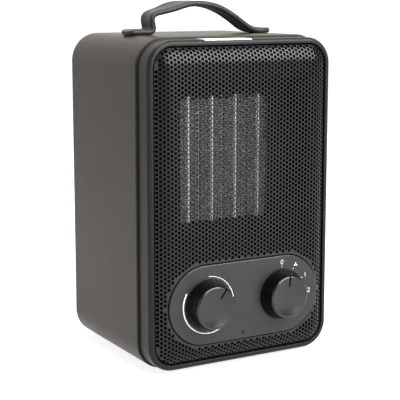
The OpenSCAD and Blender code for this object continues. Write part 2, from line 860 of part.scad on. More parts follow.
// Laminated frame with the rotor's bore in its upper limb and a coil round its lower one.
coil_drop = 30;
module motor_stator() {
    color("#77797b") difference() {
        slab(stator_front, stator_front + stator_t) translate([0, core_z]) difference() {
            translate([-stator_w / 2, -coil_drop - 6]) square([stator_w, stator_h + coil_drop - 17]);
            translate([-16, -coil_drop + 6]) square([32, 10]);
        }
        rod(0, core_z, rotor_r + 0.4, stator_front - 1, stator_front + stator_t + 1);
        for (s = [-1, 1]) rod(s * 19, core_z, 1.6, stator_front - 1, stator_front + stator_t + 1);
    }
}

module motor_coil() {
    z = core_z - coil_drop;
    color("#b5622e") difference() {
        translate([-14, 0, z]) rotate([0, 90, 0]) translate([0, at(stator_front + stator_t / 2), 0])
            linear_extrude(28) rounded_rect(23, 27, 4);
        block(0, z, 40, 12.1, stator_front - 0.1, stator_front + stator_t + 0.1);
    }
}

module bearing_bridge(front) {
    difference() {
        slab(front, front + 1.5) translate([0, core_z]) slot(0, 0, 50, 14);
        rod(0, core_z, 4.2, front - 1, front + 3);
        for (s = [-1, 1]) rod(s * 19, core_z, 1.6, front - 1, front + 3);
    }
    for (s = [-1, 1]) difference() {
        rod(s * 19, core_z, 3.5, front < stator_front ? front + 1.5 : stator_front + stator_t,
            front < stator_front ? stator_front : front);
        rod(s * 19, core_z, 1.6, front - 12, front + 12);
    }
}

module motor_brackets() {
    color("#a7aaad") {
        bearing_bridge(motor_front);
        bearing_bridge(stator_front + stator_t + 6);
    }
}

module motor_bearings() {
    color("#a98a4a") for (front = [motor_front - 1.5, stator_front + stator_t + 4.5]) difference() {
        rod(0, core_z, 4.15, front, front + 4.5);
        rod(0, core_z, axle_r + fit_gap, front - 1, front + 6);
    }
}

module motor_screws() {
    rear = stator_front + stator_t + 7.5;
    color("#8d8f91") for (s = [-1, 1]) screw(s * 19, core_z, rear, rear - motor_front + 6);
}

// ---------------------------------------------------------------- controls

body_front = bracket_front + bracket_t;

module control_bracket() {
    color("#a7aaad") slab(bracket_front, body_front) difference() {
        translate([0, controls_z]) rounded_rect(118, 44, 5);
        for (sx = [-1, 1]) translate([sx * knob_x, controls_z]) circle(bush_r + 0.1);
        for (p = panel_bosses()) translate(p) circle(1.6);
        translate([lens_x, lens_z()]) circle(2.2);
    }
}

module thermostat_body() {
    color("#d7d2c4") difference() {
        union() {
            block(-knob_x, controls_z, 34, 32, body_front, body_front + 16);
            rod(-knob_x, controls_z, bush_r, body_front - 8.5, body_front);
        }
        rod(-knob_x, controls_z, shaft_r + fit_gap, -20, body_front + 12);
    }
    color("#c8b26a") for (s = [-1, 1]) block(-knob_x + s * 9, controls_z - 19.5, 6.3, 9,
                                             body_front + 10, body_front + 10.8);
}

module shaft(x, angle) {
    facing(body_front + 10) translate([x, controls_z, 0]) {
        cylinder(r = shaft_r, h = body_front + 10 - panel_front);
        d_shaft(shaft_r, body_front + 9 - panel_front, body_front + 10 - shaft_front, angle);
    }
}

module thermostat_shaft() {
    color("#c4c7ca") shaft(-knob_x, thermostat_angle);
}

module selector_shaft() {
    color("#c4c7ca") shaft(knob_x, 0);
}

// Flat hexagon nut that holds a control to the bracket.
module bush_nut(x) {
    difference() {
        facing(bracket_front) translate([x, controls_z, 0]) cylinder(r = 8, h = 2.6, $fn = 6);
        rod(x, controls_z, bush_r + fit_gap, -5, 10);
    }
}

module thermostat_nut() {
    color("#b9bbbd") bush_nut(-knob_x);
}

module selector_nut() {
    color("#b9bbbd") bush_nut(knob_x);
}

module selector_switch() {
    color("#2a2c2e") difference() {
        union() {
            rod(knob_x, controls_z, 16, body_front, body_front + 18);
            rod(knob_x, controls_z, bush_r, body_front - 8.5, body_front);
        }
        rod(knob_x, controls_z, shaft_r + fit_gap, -20, body_front + 12);
    }
    color("#c8b26a") for (a = [0 : 3]) block(knob_x + (a - 1.5) * 7, controls_z, 5, 0.8,
                                             body_front + 18, body_front + 26);
}

// ---------------------------------------------------------------- tip-over switch

floor_z = foot_h + wall;
flange_z = 9.8;
flange_t = 1.6;
roof_z = 20.4;
roof_t = 2;
plunger_top = 31.1;
lever_z = 31.4;
lever_t = 0.6;
lever_w = 6;
lever_l = 15;
pivot_x = tip_x + 12.5;
pivot_z = lever_z + lever_t / 2;
pin_r = 0.5;
eye_r = 1.1;
switch_h = 24;
ear_t = 1.5;
ear_z = floor_z + switch_h - 1;

module tip_plunger() {
    color("#e4e2da") translate([tip_x, at(tip_depth), 0]) {
        cylinder(r = plunger_r, h = flange_z);
        translate([0, 0, flange_z]) cylinder(r = 5.5, h = flange_t);
        translate([0, 0, flange_z + flange_t]) cylinder(r = 2, h = plunger_top - flange_z - flange_t);
    }
}

module tip_spring() {
    turns = 5;
    coil_r = 4;
    wire_r = 0.4;
    low = flange_z + flange_t + wire_r;
    high = roof_z - wire_r;
    steps = turns * 10;
    color("#b9bbbd") translate([tip_x, at(tip_depth), 0]) wire([
        for (i = [0 : steps])
            [coil_r * cos(i * 36), coil_r * sin(i * 36), low + (high - low) * i / steps]
    ], wire_r, sides = 6);
}

// Guide for the plunger, with the microswitch on a post beside it.
module tip_switch_body() {
    y = at(tip_depth);
    color("#26282a") difference() {
        union() {
            translate([tip_x - 9, y - 10, floor_z]) cube([18, 20, roof_z + roof_t - floor_z]);
            translate([tip_x + 9, y - 5, floor_z]) cube([25, 10, switch_h]);
            translate([tip_x + 14, y - 5, floor_z + switch_h]) cube([20, 10, 13]);
            for (s = [-1, 1]) translate([pivot_x - 1.4, y + s * (lever_w / 2 + 1.05) - ear_t / 2, ear_z])
                cube([3, ear_t, pivot_z + 1.4 - ear_z]);
        }
        translate([tip_x, y, 0]) cylinder(r = 6.2, h = roof_z);
        translate([tip_x, y, 0]) cylinder(r = 2 + gap, h = 60);
        lever_axis(pin_r + fit_gap, 12);
    }
}

// Rod of the given length on the lever's hinge line.
module lever_axis(r, length) {
    translate([pivot_x, at(tip_depth) + length / 2, pivot_z]) rotate([90, 0, 0])
        cylinder(r = r, h = length);
}

// Arm of the microswitch: an eye at the switch's side, and a flat that lies over the plunger's stem.
module tip_lever() {
    color("#c4c7ca") difference() {
        union() {
            translate([pivot_x - lever_l, at(tip_depth) - lever_w / 2, lever_z])
                cube([lever_l, lever_w, lever_t]);
            lever_axis(eye_r, lever_w);
        }
        lever_axis(pin_r + fit_gap, lever_w + 2);
    }
}

module lever_pin() {
    color("#8d8f91") lever_axis(pin_r, 10);
}

// ---------------------------------------------------------------- wiring

terminal_x = 38;
module terminal_block() {
    color("#e8e6df") difference() {
        block(terminal_x, floor_z + 7, 30, 14, 90, 106);
        for (i = [-1 : 1]) rod(terminal_x + i * 9, floor_z + 7, 1.8, 89, 107);
    }
}

lead_r = 1.2;
module live_lead() {
    color("#6b4a32") wire(route([
        [gland_x + 1.8, at(casing_rear - 12), gland_z], [8, at(casing_rear - 20), 28],
        [terminal_x - 9, at(112), floor_z + 14], [terminal_x - 9, at(106), floor_z + 7]
    ]), lead_r);
}

module neutral_lead() {
    color("#2f5f9e") wire(route([
        [gland_x - 1.8, at(casing_rear - 12), gland_z], [0, at(casing_rear - 13), 16],
        [terminal_x, at(119), floor_z + 5], [terminal_x, at(106), floor_z + 7]
    ]), lead_r);
}

module element_leads() {
    top = core_z - core_h / 2 - holder_h - 7;
    color("#b8b4a8") for (s = [-1, 1]) {
        x = core_x0 + (s < 0 ? 0.5 : tube_n - 0.5) * tube_pitch;
        wire(route([
            [x, at(35), top - gap], [x, at(36), top - 6], [x * 0.95, at(33), top - 10],
            [x * 0.9, at(30), controls_z + 22], [x * 0.9, at(26), controls_z + 18]
        ]), lead_r, [1, 0, 0]);
    }
}

module motor_lead() {
    x = terminal_x + 9;
    color("#8e2f28") wire(route([
        [12, at(stator_front + stator_t + 6), core_z - coil_drop - 14],
        [24, at(107), core_z - 60], [x, at(110), 60], [x, at(113), 30],
        [x, at(112), floor_z + 7], [x, at(106), floor_z + 7]
    ]), lead_r, [1, 0, 0]);
}

casing();
front_bezel();
grille();
fascia();
control_panel();
thermostat_knob();
selector_knob();
indicator_lens();
indicator_lamp();
handle_strap();
handle_plates();
handle_screws();
top_label();
rear_cover();
rear_cover_screws();
bezel_screws();
panel_screws();
feet();
cord_gland();
outlet_duct();
element_holders();
element_tubes();
ceramic_stones();
element_fins();
element_dividers();
element_terminals();
thermal_cutout();
thermal_fuse();
fuse_bracket();
fan_housing();
fan_housing_screws();
fan_impeller();
motor_shaft();
motor_rotor();
motor_stator();
motor_coil();
motor_brackets();
motor_bearings();
motor_screws();
control_bracket();
thermostat_body();
thermostat_shaft();
thermostat_nut();
selector_switch();
selector_shaft();
selector_nut();
tip_switch_body();
tip_plunger();
tip_spring();
tip_lever();
lever_pin();
terminal_block();
live_lead();
neutral_lead();
element_leads();
motor_lead();
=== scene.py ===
"""Looks of the ceramic fan heater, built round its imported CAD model.

Metres. +X is to the right seen from the front, +Y towards the rear, +Z up.
"""

import json
import math

import bmesh
import bpy
from mathutils import Matrix, Vector
from mathutils.geometry import delaunay_2d_cdt


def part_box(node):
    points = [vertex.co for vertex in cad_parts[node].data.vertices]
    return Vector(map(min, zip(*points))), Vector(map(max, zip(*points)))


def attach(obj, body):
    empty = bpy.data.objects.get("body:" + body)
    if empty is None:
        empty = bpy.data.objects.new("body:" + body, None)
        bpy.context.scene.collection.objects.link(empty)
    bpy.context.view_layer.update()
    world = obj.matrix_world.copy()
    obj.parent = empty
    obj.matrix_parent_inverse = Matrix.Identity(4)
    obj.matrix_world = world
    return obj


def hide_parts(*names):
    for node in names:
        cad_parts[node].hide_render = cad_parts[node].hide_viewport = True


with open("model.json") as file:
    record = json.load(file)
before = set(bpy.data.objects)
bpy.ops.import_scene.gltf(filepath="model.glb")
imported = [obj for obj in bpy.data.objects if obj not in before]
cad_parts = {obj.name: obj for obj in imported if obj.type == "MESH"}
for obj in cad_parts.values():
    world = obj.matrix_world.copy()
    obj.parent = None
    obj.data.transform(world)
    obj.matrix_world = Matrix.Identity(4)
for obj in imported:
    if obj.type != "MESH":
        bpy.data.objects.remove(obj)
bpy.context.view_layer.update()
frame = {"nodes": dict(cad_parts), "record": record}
MM = 0.001
TURN = 2 * math.pi

# ---------------------------------------------------------------- materials


# How many radians a wave texture of scale 1 runs through in a unit of length.
WAVE_RATE = {"X": 20, "Y": 20, "DIAGONAL": 10 * math.sqrt(3)}


class Graph:
    """A node material with object coordinates, built up from short calls."""

    def __init__(self, name):
        self.material = bpy.data.materials.new(name)
        self.material.use_nodes = True
        self.tree = self.material.node_tree
        self.shader = self.tree.nodes["Principled BSDF"]
        self.coords = self.tree.nodes.new("ShaderNodeTexCoord").outputs["Object"]

    def node(self, kind, inputs=None, **settings):
        """A new node; an input is a plain value or the socket that feeds it."""
        made = self.tree.nodes.new(kind)
        for key, value in settings.items():
            setattr(made, key, value)
        for key, value in (inputs or {}).items():
            if isinstance(value, bpy.types.NodeSocket):
                self.tree.links.new(value, made.inputs[key])
            else:
                made.inputs[key].default_value = value
        return made

    def stretched(self, stretch):
        """Coordinates scaled along each axis: a scale below 1 draws a pattern out."""
        if tuple(stretch) == (1, 1, 1):
            return self.coords
        mapping = self.node("ShaderNodeMapping", {"Vector": self.coords, "Scale": stretch})
        return mapping.outputs["Vector"]

    def noise(self, size, detail=3.0, stretch=(1, 1, 1)):
        """Clouds of about this size."""
        made = self.node("ShaderNodeTexNoise", {
            "Vector": self.stretched(stretch), "Scale": 1 / size,
            "Detail": detail, "Roughness": 0.6,
        })
        return made.outputs["Fac"]

    def cells(self, size):
        """Distance to the nearest border between cells of about this size."""
        made = self.node("ShaderNodeTexVoronoi", {
            "Vector": self.coords, "Scale": 1 / size, "Randomness": 0.9,
        }, feature="DISTANCE_TO_EDGE")
        return made.outputs["Distance"]

    def bands(self, pitch, axis, distortion, detail=2.0, stretch=(1, 1, 1)):
        """Waves along an axis, one to each pitch."""
        made = self.node("ShaderNodeTexWave", {
            "Vector": self.stretched(stretch), "Scale": TURN / (pitch * WAVE_RATE[axis]),
            "Distortion": distortion, "Detail": detail,
        }, bands_direction=axis)
        return made.outputs["Fac"]

    def spread(self, factor, low, high, start=0.3, end=0.7):
        """Turns a factor's range from start to end into one from low to high."""
        made = self.node("ShaderNodeMapRange", {
            "Value": factor, "From Min": start, "From Max": end, "To Min": low, "To Max": high,
        })
        return made.outputs["Result"]

    def tint(self, factor, dark, light, start=0.3, end=0.7):
        """Turns a factor's range from start to end into a blend of two colours."""
        made = self.node("ShaderNodeValToRGB", {"Fac": factor})
        made.color_ramp.elements[0].position = start
        made.color_ramp.elements[1].position = end
        made.color_ramp.elements[0].color = (*dark, 1)
        made.color_ramp.elements[1].color = (*light, 1)
        return made.outputs["Color"]

    def bump(self, height, depth, strength=1.0, under=None):
        """A relief of a given depth, on top of another one if it is given."""
        inputs = {"Height": height, "Distance": depth, "Strength": strength}
        if under is not None:
            inputs["Normal"] = under
        return self.node("ShaderNodeBump", inputs).outputs["Normal"]

    def wire(self, **sockets):
        """Feeds sockets of the shader, whose names are written with underscores."""
        for key, value in sockets.items():
            self.tree.links.new(value, self.shader.inputs[key.replace("_", " ")])

    def fixed(self, metallic=0.0, specular=0.5, coat=0.0, sheen=0.0):
        """Sets what is the same all over the surface on the shader itself."""
        self.shader.inputs["Metallic"].default_value = metallic
        self.shader.inputs["Specular IOR Level"].default_value = specular
        self.shader.inputs["Coat Weight"].default_value = coat
        self.shader.inputs["Sheen Weight"].default_value = sheen


def shade(color, share):
    """The same colour, darker or lighter."""
    return tuple(min(1.0, c * share) for c in color)


def moulded(name, color, roughness, specular=0.5, grain=0.5 * MM, depth=0.012 * MM, mottle=0.12,
            coat=0.0, glint=(1, 1, 1)):
    """Moulded plastic: a spark-eroded grain, faint clouding and a patchy gloss.

    The glint is the colour of what the surface mirrors.
    """
    g = Graph(name)
    g.fixed(specular=specular, coat=coat)
    g.shader.inputs["Specular Tint"].default_value = (*glint, 1)
    cloud = g.noise(14 * MM, 4.0)
    g.wire(
        Base_Color=g.tint(cloud, shade(color, 1 - mottle), shade(color, 1 + mottle)),
        Roughness=g.spread(g.noise(3 * MM, 5.0), roughness - 0.05, roughness + 0.05),
        Normal=g.bump(g.noise(grain, 2.0), depth),
    )
    return g.material


def metal(name, color, roughness, stretch=(1, 1, 1), scratch=0.6 * MM, depth=0.006 * MM,
          stain=0.12):
    """Bare metal: stretched scratches, a little oxide in the hollows of the clouding."""
    g = Graph(name)
    g.fixed(metallic=1.0)
    cloud = g.noise(8 * MM, 5.0)
    g.wire(
        Base_Color=g.tint(cloud, shade(color, 1 - stain), shade(color, 1 + stain / 2)),
        Roughness=g.spread(g.noise(2 * MM, 5.0, stretch), roughness - 0.08, roughness + 0.1),
        Normal=g.bump(g.noise(scratch, 3.0, stretch), depth),
    )
    return g.material


def leather(name, color, roughness):
    """Coated band: pebbled cells over fine pores, lighter where it is rubbed."""
    g = Graph(name)
    g.fixed(specular=0.3, sheen=0.05)
    cells = g.cells(1.1 * MM)
    pebble = g.bump(g.spread(cells, 0.0, 1.0, 0.0, 0.25), 0.05 * MM, 0.7)
    g.wire(
        Base_Color=g.tint(g.noise(9 * MM, 5.0), shade(color, 0.7), shade(color, 1.5)),
        Roughness=g.spread(g.noise(2.5 * MM, 4.0), roughness - 0.07, roughness + 0.1),
        Normal=g.bump(g.noise(0.25 * MM, 2.0), 0.02 * MM, 0.6, pebble),
    )
    return g.material


def laminated(name, color, roughness, sheet=0.5 * MM):
    """Stacked sheets: dark lines across the depth axis."""
    g = Graph(name)
    g.fixed(metallic=0.8)
    wave = g.bands(sheet, "Y", 0.4)
    g.wire(
        Base_Color=g.tint(wave, shade(color, 0.35), color, 0.1, 0.5),
        Roughness=g.spread(g.noise(2 * MM), roughness - 0.1, roughness + 0.1),
        Normal=g.bump(wave, 0.05 * MM),
    )
    return g.material


def wound(name, color, roughness, turn=0.35 * MM):
    """Enamelled wire in close turns round the X axis."""
    g = Graph(name)
    g.fixed(coat=0.3)
    wave = g.bands(turn, "X", 0.6, 1.0)
    g.wire(
        # Painted shade in the grooves between the turns and a painted highlight on each turn's
        # crest, lined up with the bump.
        Base_Color=g.tint(wave, shade(color, 0.3), shade(color, 1.2), 0.1, 0.6),
        Roughness=g.spread(g.noise(1 * MM), roughness - 0.08, roughness + 0.08),
        Normal=g.bump(wave, 0.08 * MM),
    )
    return g.material


def braided(name, color, roughness, rib=0.8 * MM):
    """Woven glass sleeve: two crossing sets of fine ribs."""
    g = Graph(name)
    rising, falling = (g.bands(rib, "DIAGONAL", 0.3, stretch=(1, 1, s)) for s in (1, -1))
    weave = g.node("ShaderNodeMath", {0: rising, 1: falling}, operation="MULTIPLY").outputs[0]
    g.wire(
        # Painted shade in the hollows of the weave, lined up with the bump.
        Base_Color=g.tint(weave, shade(color, 0.6), color, 0.1, 0.6),
        Roughness=g.spread(g.noise(1 * MM), roughness - 0.05, roughness + 0.05),
        Normal=g.bump(weave, 0.1 * MM),
    )
    return g.material


UPRIGHT = (1, 1, 0.08)  # draws scratches out along Z

# One material to each slot of the record. The numbers after a colour are its roughness and, for
# plastics, how strongly it mirrors.
MATERIALS = {
    "casing": moulded("casing_plastic", (0.018, 0.0148, 0.0105), 0.4, 0.235,
                      grain=0.35 * MM, depth=0.01 * MM, glint=(1.0, 0.92, 0.82)),
    "bezel": moulded("bezel_plastic", (0.007, 0.007, 0.007), 0.36, 0.17,
                     grain=0.35 * MM, glint=(1.0, 0.98, 0.95)),
    "mesh": moulded("mesh_paint", (0.007, 0.0082, 0.0088), 0.29, 0.34,
                    grain=0.3 * MM, depth=0.008 * MM, glint=(0.94, 0.99, 1.0)),
    "inner_plastic": moulded("inner_plastic", (0.003, 0.003, 0.003), 0.8, 0.05),
    "panel": moulded("panel_plastic", (0.012, 0.0125, 0.014), 0.33, 0.35,
                     grain=0.3 * MM, depth=0.008 * MM),
    "knob": moulded("knob_plastic", (0.003, 0.003, 0.004), 0.25, 0.5, depth=0.001 * MM),
    "lens": moulded("lens_plastic", (0.004, 0.003, 0.003), 0.12, 0.2,
                    grain=1 * MM, depth=0.002 * MM),
    "lamp": moulded("lamp_glass", (0.8, 0.75, 0.62), 0.12,
                    grain=1 * MM, depth=0.002 * MM, coat=0.5),
    "strap": leather("strap_leather", (0.008, 0.0078, 0.0082), 0.47),
    "label": moulded("label_film", (0.8, 0.8, 0.79), 0.3,
                     grain=0.8 * MM, depth=0.006 * MM, mottle=0.03),
    "rubber": moulded("rubber", (0.02, 0.02, 0.02), 0.75, 0.3, grain=0.4 * MM, depth=0.02 * MM),
    "zinc_steel": metal("zinc_steel", (0.6, 0.61, 0.62), 0.35),
    "aluminium": metal("aluminium", (0.5, 0.51, 0.52), 0.42, UPRIGHT, 0.4 * MM),
    "stone": moulded("ptc_ceramic", (0.2, 0.16, 0.13), 0.8, 0.3, grain=0.3 * MM, depth=0.03 * MM),
    "brass": metal("brass", (0.8, 0.62, 0.3), 0.32),
    "bakelite": moulded("bakelite", (0.05, 0.045, 0.045), 0.35, grain=0.6 * MM),
    "ceramic_white": moulded("ceramic_white", (0.78, 0.76, 0.7), 0.3,
                             grain=1 * MM, mottle=0.05, coat=0.2),
    "impeller": moulded("impeller_plastic", (0.06, 0.062, 0.066), 0.4, grain=0.4 * MM),
    "laminated_steel": laminated("laminated_steel", (0.42, 0.43, 0.44), 0.45),
    "winding": wound("copper_winding", (0.55, 0.2, 0.07), 0.3),
    "nylon": moulded("nylon", (0.75, 0.74, 0.7), 0.45, grain=0.8 * MM, mottle=0.05),
    "lead_brown": moulded("lead_brown", (0.16, 0.07, 0.035), 0.4, grain=0.6 * MM),
    "lead_blue": moulded("lead_blue", (0.03, 0.09, 0.38), 0.4, grain=0.6 * MM),
    "lead_red": moulded("lead_red", (0.42, 0.03, 0.02), 0.4, grain=0.6 * MM),
    "lead_sleeve": braided("glass_sleeve", (0.66, 0.64, 0.58), 0.7),
}
# Painted shade: a darker, duller copy of the knob's plastic for its sides and pointer groove.
KNOB_PAINTED_SHADE = moulded("knob_painted_shade_plastic", (0.002, 0.002, 0.0022), 0.3, 0.12, depth=0.001 * MM)
PRINT_INK = moulded("print_ink", (0.6, 0.6, 0.6), 0.5,
                    grain=0.4 * MM, depth=0.004 * MM, mottle=0.04)

for part in frame["record"]["subparts"]:
    mesh = frame["nodes"][part["node"]].data
    mesh.materials.clear()
    mesh.materials.append(MATERIALS[part["material_slot"]])

# ---------------------------------------------------------------- camera, light and floor


# The camera that the photo's own edges give: where it looks, from which side and how far off.
VIEW_AZIMUTH, VIEW_ELEVATION = math.radians(29.91), math.radians(9.15)
VIEW_AIM = Vector((-2.8, 1.1, 130.0)) * MM
VIEW_DISTANCE = 875.6 * MM
VIEW_LENS, VIEW_SENSOR, VIEW_SHIFT = 103.4, 36, -0.05

# Place, width, height and power of each light. They all face the middle of the heater.
SOFTBOXES = {
    "front_right": ((0.46, -1.45, 0.3), 0.5, 0.4, 4),
    "front_top": ((0.45, -1.12, 1.05), 1.7, 1.25, 80),
    "left_strip": ((-1.35, -0.78, 0.35), 0.4, 1.3, 6),
    "overhead": ((-0.2, 0.3, 1.6), 0.9, 0.9, 16),
}
HEATER_MIDDLE = Vector((0, 0, 0.13))

# The floor glows by itself, from the first strength left of the first X up to the second.
FLOOR_REACH = 8.0
FLOOR_GLOW = (0.66, 0.84)
FLOOR_FADE = (-0.6, -0.2)


def studio():
    """Camera at the photo's angle, a pale surround, four soft boxes and a white floor."""
    view()
    surround()
    for name, (place, width, height, power) in SOFTBOXES.items():
        softbox(name, place, width, height, power)
    white_floor()


def view():
    """The camera, with plain colours that no tone curve bends."""
    level = math.cos(VIEW_ELEVATION)
    ahead = Vector((
        math.sin(VIEW_AZIMUTH) * level, math.cos(VIEW_AZIMUTH) * level, -math.sin(VIEW_ELEVATION),
    ))
    camera = bpy.data.objects.new("camera", bpy.data.cameras.new("camera"))
    camera.location = VIEW_AIM - VIEW_DISTANCE * ahead
    camera.rotation_mode = "QUATERNION"
    camera.rotation_quaternion = ahead.to_track_quat("-Z", "Y")
    camera.data.lens = VIEW_LENS
    camera.data.sensor_width = VIEW_SENSOR
    camera.data.shift_y = VIEW_SHIFT
    bpy.context.scene.collection.objects.link(camera)
    bpy.context.scene.camera = camera
    bpy.context.scene.view_settings.view_transform = "Standard"


def white_floor():
    """A matt white floor, a little darker on the left, where the casing's side mirrors it."""
    floor_mesh = bpy.data.meshes.new("floor")
    corners = [
        (x * FLOOR_REACH, y * FLOOR_REACH, 0) for x, y in ((-1, -1), (1, -1), (1, 1), (-1, 1))
    ]
    floor_mesh.from_pydata(corners, [], [(0, 1, 2, 3)])
    floor = bpy.data.objects.new("floor", floor_mesh)
    bpy.context.scene.collection.objects.link(floor)
    g = Graph("floor_white")
    g.fixed(specular=0.0)
    g.wire(Base_Color=g.tint(g.noise(0.5), (0.34, 0.34, 0.34), (0.36, 0.36, 0.36)))
    g.shader.inputs["Roughness"].default_value = 0.9
    g.shader.inputs["Emission Color"].default_value = (1, 1, 1, 1)
    across = g.node("ShaderNodeSeparateXYZ", {"Vector": g.coords}).outputs["X"]
    g.wire(Emission_Strength=g.spread(across, *FLOOR_GLOW, *FLOOR_FADE))
    floor_mesh.materials.append(g.material)


def surround():
    """White behind the heater and dim in front of it; the camera sees white everywhere.

    The strength grows with the direction's share towards the rear, from -0.15 up to 0.35.
    """
    world = bpy.data.worlds.new("studio")
    world.use_nodes = True
    tree = world.node_tree
    background = tree.nodes["Background"]
    background.inputs["Color"].default_value = (1, 1, 1, 1)
    way = tree.nodes.new("ShaderNodeTexCoord")
    split = tree.nodes.new("ShaderNodeSeparateXYZ")
    fade = tree.nodes.new("ShaderNodeMapRange")
    path = tree.nodes.new("ShaderNodeLightPath")
    level = tree.nodes.new("ShaderNodeMath")
    level.operation = "MAXIMUM"
    rearward = {"From Min": -0.15, "From Max": 0.35, "To Min": 0.05, "To Max": 1.3}
    for key, value in rearward.items():
        fade.inputs[key].default_value = value
    tree.links.new(way.outputs["Generated"], split.inputs[0])
    tree.links.new(split.outputs["Y"], fade.inputs["Value"])
    tree.links.new(fade.outputs["Result"], level.inputs[0])
    tree.links.new(path.outputs["Is Camera Ray"], level.inputs[1])
    tree.links.new(level.outputs[0], background.inputs["Strength"])
    bpy.context.scene.world = world


def softbox(name, place, width, height, power):
    """A rectangular light that faces the middle of the heater."""
    light = bpy.data.lights.new(name, "AREA")
    light.shape = "RECTANGLE"
    light.size = width
    light.size_y = height
    light.energy = power
    holder = bpy.data.objects.new(name, light)
    holder.location = place
    holder.rotation_mode = "QUATERNION"
    holder.rotation_quaternion = (HEATER_MIDDLE - Vector(place)).to_track_quat("-Z", "Y")
    bpy.context.scene.collection.objects.link(holder)


studio()

# ---------------------------------------------------------------- mesh helpers


def piece(name, points, faces, slot, body="housing", stands_for=(), sharp=35.0, material=None):
    """A new visible piece that rides on a body, with smooth shading up to an angle."""
    mesh = bpy.data.meshes.new(name)
    mesh.from_pydata([tuple(p) for p in points], [], faces)
    mesh.validate()
    mesh.polygons.foreach_set("use_smooth", [True] * len(mesh.polygons))
    mesh.set_sharp_from_angle(angle=math.radians(sharp))
    mesh.materials.append(material or MATERIALS[slot])
    made = bpy.data.objects.new(name, mesh)
    bpy.context.scene.collection.objects.link(made)
    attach(made, body)
    if stands_for:
        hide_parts(*stands_for)
    return made


def arc(cx, cy, r, start, end, steps):
    """Points of an arc, angles in degrees."""
    angles = [math.radians(start + (end - start) * i / steps) for i in range(steps + 1)]
    return [(cx + r * math.cos(a), cy + r * math.sin(a)) for a in angles]


def rounded_loop(w, h, r, steps):
    """Closed rounded rectangle, anticlockwise, centred on the origin."""
    cx, cy = w / 2 - r, h / 2 - r
    loop = []
    for sx, sy, start in ((1, 1, 0), (-1, 1, 90), (-1, -1, 180), (1, -1, 270)):
        loop += arc(sx * cx, sy * cy, r, start, start + 90, steps)
    return dense(loop, 3 * MM)


def dense(loop, step):
    """Adds points along a closed loop's long sides."""
    points = []
    for (ax, ay), (bx, by) in zip(loop, loop[1:] + loop[:1]):
        n = max(1, round(math.hypot(bx - ax, by - ay) / step))
        if math.hypot(bx - ax, by - ay) > 1e-7:
            points += [(ax + (bx - ax) * i / n, ay + (by - ay) * i / n) for i in range(n)]
    return points


def lathe(profile, sides):
    """Revolves (radius, height) points, whose ends lie on the axis, round the local Z axis."""
    rings = profile[1:-1]
    around = [TURN * k / sides for k in range(sides)]
    points = [Vector((0, 0, profile[0][1]))]
    for r, z in rings:
        points += [Vector((r * math.cos(a), r * math.sin(a), z)) for a in around]
    points.append(Vector((0, 0, profile[-1][1])))
    last = len(points) - 1
    faces = [(0, 1 + (k + 1) % sides, 1 + k) for k in range(sides)]
    for i in range(len(rings) - 1):
        for k in range(sides):
            a, b = 1 + i * sides + k, 1 + i * sides + (k + 1) % sides
            faces.append((a, b, b + sides, a + sides))
    base = 1 + (len(rings) - 1) * sides
    faces += [(last, base + k, base + (k + 1) % sides) for k in range(sides)]
    return points, faces


def swept(sections):
    """Joins equal closed sections into a closed body with flat ends."""
    n = len(sections[0])
    points = [p for section in sections for p in section]
    faces = [
        (i * n + k, i * n + (k + 1) % n, (i + 1) * n + (k + 1) % n, (i + 1) * n + k)
        for i in range(len(sections) - 1) for k in range(n)
    ]
    last = (len(sections) - 1) * n
    faces.append(tuple(reversed(range(n))))
    faces.append(tuple(range(last, last + n)))
    return points, faces


def facing(x, y, z):
    """Local Z towards the front, local Y up: places an upright drawing at a point."""
    return Matrix.Translation((x, y, z)) @ Matrix.Rotation(math.radians(90), 4, "X")


def outward(made):
    """Turns every face of a closed mesh outwards."""
    shell = bmesh.new()
    shell.from_mesh(made.data)
    bmesh.ops.recalc_face_normals(shell, faces=shell.faces)
    shell.to_mesh(made.data)
    shell.free()


def cut_away(made, points, faces, sharp):
    """Cuts a closed body, given by its points and faces, out of a piece."""
    mesh = bpy.data.meshes.new("cutter")
    mesh.from_pydata([tuple(p) for p in points], [], faces)
    cutter = bpy.data.objects.new("cutter", mesh)
    bpy.context.scene.collection.objects.link(cutter)
    outward(cutter)
    cut = made.modifiers.new("cut", "BOOLEAN")
    cut.operation = "DIFFERENCE"
    cut.solver = "EXACT"
    cut.object = cutter
    bpy.context.view_layer.update()
    shown = made.evaluated_get(bpy.context.evaluated_depsgraph_get())
    carved = bpy.data.meshes.new_from_object(shown)
    made.modifiers.clear()
    made.data = carved
    carved.set_sharp_from_angle(angle=math.radians(sharp))
    bpy.data.objects.remove(cutter)


# ---------------------------------------------------------------- perforated grille

SHEET = 0.8 * MM  # thickness
CORNER_R = 14.4 * MM
BORDER = 13 * MM  # width of the rounded border, seen from the front
BORDER_DROP = 5.5 * MM  # how far the border falls back
SKIRT = 7 * MM
HOLE_PITCH = 3.17 * MM
HOLE_R = 1.35 * MM
HOLE_SIDES = 12
EDGE_WEB = 0.15 * MM  # metal between the outermost holes and the skirt
PANEL_WEB = 0.4 * MM  # metal between a hole and the panel's opening
PANEL_PLAY = 1.6 * MM  # how much wider the opening is than the panel
SPLIT_ABOVE_PANEL = 6 * MM  # the mesh is made as two pieces, to keep each of them small


